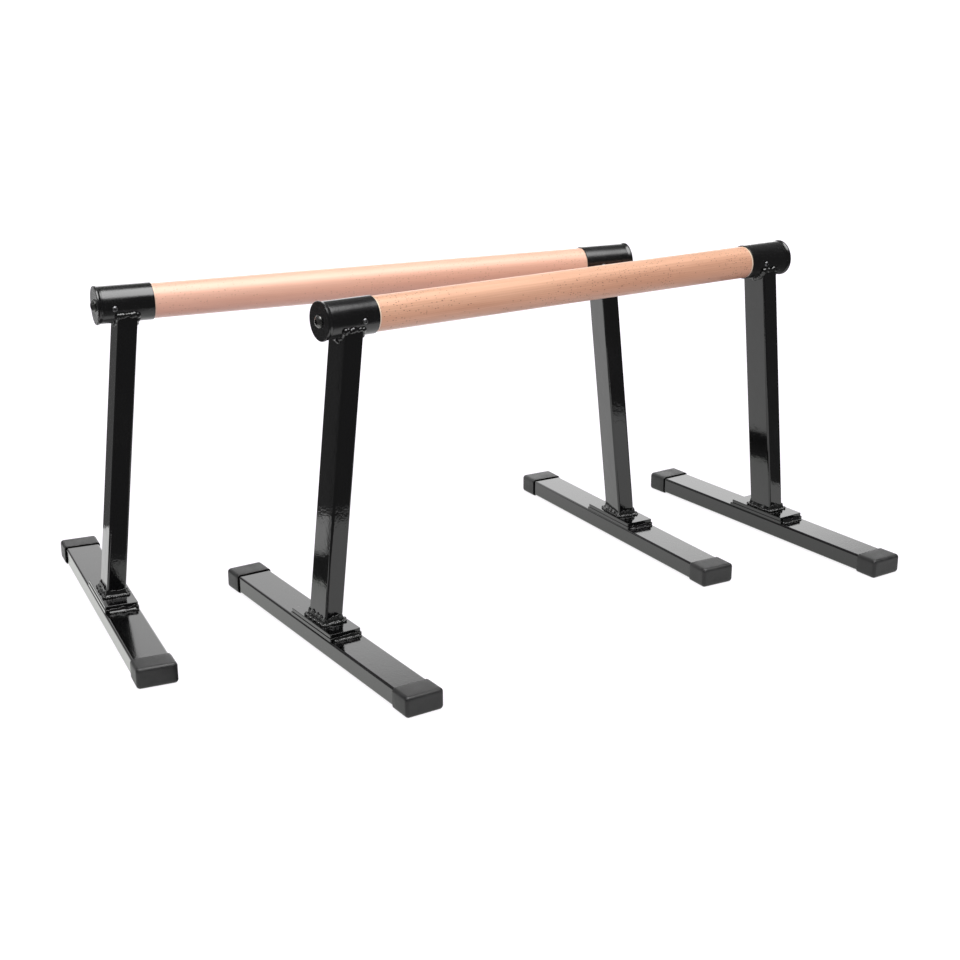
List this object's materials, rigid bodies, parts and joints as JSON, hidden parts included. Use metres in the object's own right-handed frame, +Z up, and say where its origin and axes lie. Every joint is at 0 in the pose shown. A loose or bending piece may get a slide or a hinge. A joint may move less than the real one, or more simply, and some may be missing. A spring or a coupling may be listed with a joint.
{
  "type": "low gymnastics parallel bars",
  "caption": "Pair of low free-standing parallel bars: round wooden rails in black steel sleeves on splayed rectangular posts, with long cross feet in rubber caps.",
  "frame": {"origin": "on the floor, under the middle of the box round both stands", "axes": "+X along the near bar to the right, +Y from the near stand towards the far stand, +Z up"},
  "size_m": [1.1216, 0.778, 0.4735],
  "materials": {
    "powder_coat": "gloss black powder coat with slight orange peel, over tube, plate and weld beads",
    "beech": "steamed beech, satin varnish, small dark ray flecks",
    "rubber": "moulded, matt",
    "bolt_steel": "black oxide, worn bright on the dome",
    "screw_steel": "zinc plated",
    "insert_brass": "turned"
  },
  "bodies": {
    "near_stand": {"near_bar": "beech", "near_left_bar_insert": "insert_brass", "near_left_base_plate": "powder_coat", "near_left_cap_bolt": "bolt_steel", "near_left_foot_plate": "powder_coat", "near_left_foot_tube": "powder_coat", "near_left_front_foot_cap": "rubber", "near_left_plate_welds": "powder_coat", "near_left_post": "powder_coat", "near_left_post_weld": "powder_coat", "near_left_rear_foot_cap": "rubber", "near_left_side_screw": "screw_steel", "near_left_sleeve": "powder_coat", "near_left_sleeve_cap": "powder_coat", "near_left_sleeve_weld": "powder_coat", "near_right_bar_insert": "insert_brass", "near_right_base_plate": "powder_coat", "near_right_cap_bolt": "bolt_steel", "near_right_foot_plate": "powder_coat", "near_right_foot_tube": "powder_coat", "near_right_front_foot_cap": "rubber", "near_right_plate_welds": "powder_coat", "near_right_post": "powder_coat", "near_right_post_weld": "powder_coat", "near_right_rear_foot_cap": "rubber", "near_right_side_screw": "screw_steel", "near_right_sleeve": "powder_coat", "near_right_sleeve_cap": "powder_coat", "near_right_sleeve_weld": "powder_coat"},
    "far_stand": {"far_bar": "beech", "far_left_bar_insert": "insert_brass", "far_left_base_plate": "powder_coat", "far_left_cap_bolt": "bolt_steel", "far_left_foot_plate": "powder_coat", "far_left_foot_tube": "powder_coat", "far_left_front_foot_cap": "rubber", "far_left_plate_welds": "powder_coat", "far_left_post": "powder_coat", "far_left_post_weld": "powder_coat", "far_left_rear_foot_cap": "rubber", "far_left_side_screw": "screw_steel", "far_left_sleeve": "powder_coat", "far_left_sleeve_cap": "powder_coat", "far_left_sleeve_weld": "powder_coat", "far_right_bar_insert": "insert_brass", "far_right_base_plate": "powder_coat", "far_right_cap_bolt": "bolt_steel", "far_right_foot_plate": "powder_coat", "far_right_foot_tube": "powder_coat", "far_right_front_foot_cap": "rubber", "far_right_plate_welds": "powder_coat", "far_right_post": "powder_coat", "far_right_post_weld": "powder_coat", "far_right_rear_foot_cap": "rubber", "far_right_side_screw": "screw_steel", "far_right_sleeve": "powder_coat", "far_right_sleeve_cap": "powder_coat", "far_right_sleeve_weld": "powder_coat"}
  },
  "joints": [
    {"name": "bar_spacing", "type": "slide", "parent": "near_stand", "child": "far_stand", "axis": [0, 1, 0], "range_m": [-0.05, 0.4]}
  ]
}
